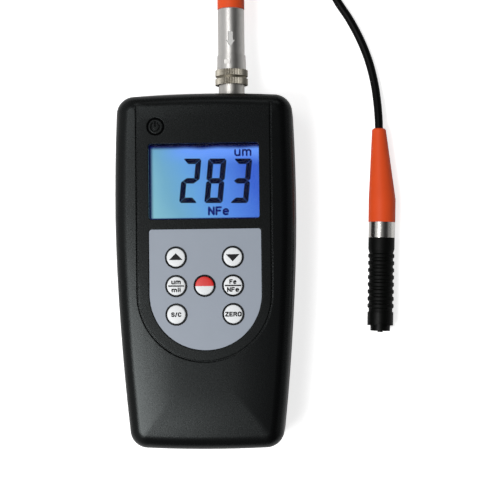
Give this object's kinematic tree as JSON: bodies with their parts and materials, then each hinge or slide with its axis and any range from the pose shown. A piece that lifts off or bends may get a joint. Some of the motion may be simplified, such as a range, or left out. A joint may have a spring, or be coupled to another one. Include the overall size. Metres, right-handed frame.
{
  "type": "coating thickness gauge",
  "caption": "Handheld coating thickness gauge with a lit segment display, round keys and a wired probe on a push-pull plug.",
  "frame": {"origin": "middle of the case's flat back face, on which the gauge lies", "axes": "+Z out of the display, +Y towards the socket end, +X to the right seen from the front"},
  "size_m": [0.1005, 0.2381, 0.0273],
  "materials": {
    "case_plastic": "fine matte texture",
    "clear_window": "clear gloss",
    "display": "lit blue",
    "overlay_grey": "satin",
    "key_white": "satin",
    "key_red": "satin",
    "plug_metal": "satin",
    "bright_metal": "polished",
    "boot_orange": "satin",
    "black_rubber": "matte",
    "black_plastic": "satin",
    "board_green": "satin",
    "contact_metal": "satin",
    "gold": "satin",
    "cell_sleeve": "gloss",
    "copper": "satin",
    "cable_black": "semi-matte",
    "tie_fabric": "matte"
  },
  "bodies": {
    "gauge": {"front_case": "case_plastic", "rear_case": "case_plastic", "case_screws": "bright_metal", "display_window": "clear_window", "lcd_panel": "display", "lcd_backlight": "key_white", "lcd_pins": "contact_metal", "keypad_overlay": "overlay_grey", "key_switches": "black_plastic", "main_board": "board_green", "board_screws": "bright_metal", "processor_chip": "black_plastic", "board_parts": "contact_metal", "battery_1": "cell_sleeve", "battery_2": "cell_sleeve", "battery_3": "cell_sleeve", "battery_4": "cell_sleeve", "battery_springs": "contact_metal", "battery_contacts": "contact_metal", "probe_socket": "plug_metal", "socket_insert": "black_plastic", "socket_pins": "gold"},
    "battery_door": {"battery_door": "case_plastic"},
    "key_plus": {"key_plus": "key_white"},
    "key_minus": {"key_minus": "key_white"},
    "key_unit": {"key_unit": "key_white"},
    "key_power": {"key_power": "key_red"},
    "key_metal": {"key_metal": "key_white"},
    "key_mode": {"key_mode": "key_white"},
    "key_zero": {"key_zero": "key_white"},
    "probe_lead": {"plug_barrel": "plug_metal", "plug_insert": "black_plastic", "plug_pins": "gold", "plug_boot": "boot_orange", "cable_from_plug": "cable_black", "cable_coil": "cable_black", "coil_tie": "tie_fabric", "cable_to_probe": "cable_black", "probe_boot": "boot_orange", "probe_tube": "bright_metal", "probe_grip": "black_rubber", "probe_collar": "black_plastic", "probe_spring": "contact_metal"},
    "release_sleeve": {"release_sleeve": "plug_metal"},
    "probe_nose": {"probe_plunger": "black_plastic", "sensor_tip": "bright_metal", "sensor_winding": "copper"}
  },
  "joints": [
    {"name": "key_plus_press", "type": "slide", "parent": "gauge", "child": "key_plus", "axis": [0, 0, -1], "range_m": [0, 0.0005], "stiffness_N_per_m": 800, "springref_m": -0.0005},
    {"name": "key_minus_press", "type": "slide", "parent": "gauge", "child": "key_minus", "axis": [0, 0, -1], "range_m": [0, 0.0005], "stiffness_N_per_m": 800, "springref_m": -0.0005},
    {"name": "key_unit_press", "type": "slide", "parent": "gauge", "child": "key_unit", "axis": [0, 0, -1], "range_m": [0, 0.0005], "stiffness_N_per_m": 800, "springref_m": -0.0005},
    {"name": "key_power_press", "type": "slide", "parent": "gauge", "child": "key_power", "axis": [0, 0, -1], "range_m": [0, 0.0005], "stiffness_N_per_m": 800, "springref_m": -0.0005},
    {"name": "key_metal_press", "type": "slide", "parent": "gauge", "child": "key_metal", "axis": [0, 0, -1], "range_m": [0, 0.0005], "stiffness_N_per_m": 800, "springref_m": -0.0005},
    {"name": "key_mode_press", "type": "slide", "parent": "gauge", "child": "key_mode", "axis": [0, 0, -1], "range_m": [0, 0.0005], "stiffness_N_per_m": 800, "springref_m": -0.0005},
    {"name": "key_zero_press", "type": "slide", "parent": "gauge", "child": "key_zero", "axis": [0, 0, -1], "range_m": [0, 0.0005], "stiffness_N_per_m": 800, "springref_m": -0.0005},
    {"name": "battery_door_slide", "type": "slide", "parent": "gauge", "child": "battery_door", "axis": [0, -1, 0], "range_m": [0, 0.055]},
    {"name": "plug_pull", "type": "slide", "parent": "gauge", "child": "probe_lead", "axis": [0, 1, 0], "range_m": [0, 0.012]},
    {"name": "sleeve_pull", "type": "slide", "parent": "probe_lead", "child": "release_sleeve", "axis": [0, 1, 0], "range_m": [0, 0.0015], "stiffness_N_per_m": 1500, "springref_m": -0.001},
    {"name": "probe_nose_press", "type": "slide", "parent": "probe_lead", "child": "probe_nose", "axis": [0.0288, 0.9996, 0], "range_m": [0, 0.0022], "stiffness_N_per_m": 600, "springref_m": -0.001, "deforming": ["probe_spring"]}
  ]
}
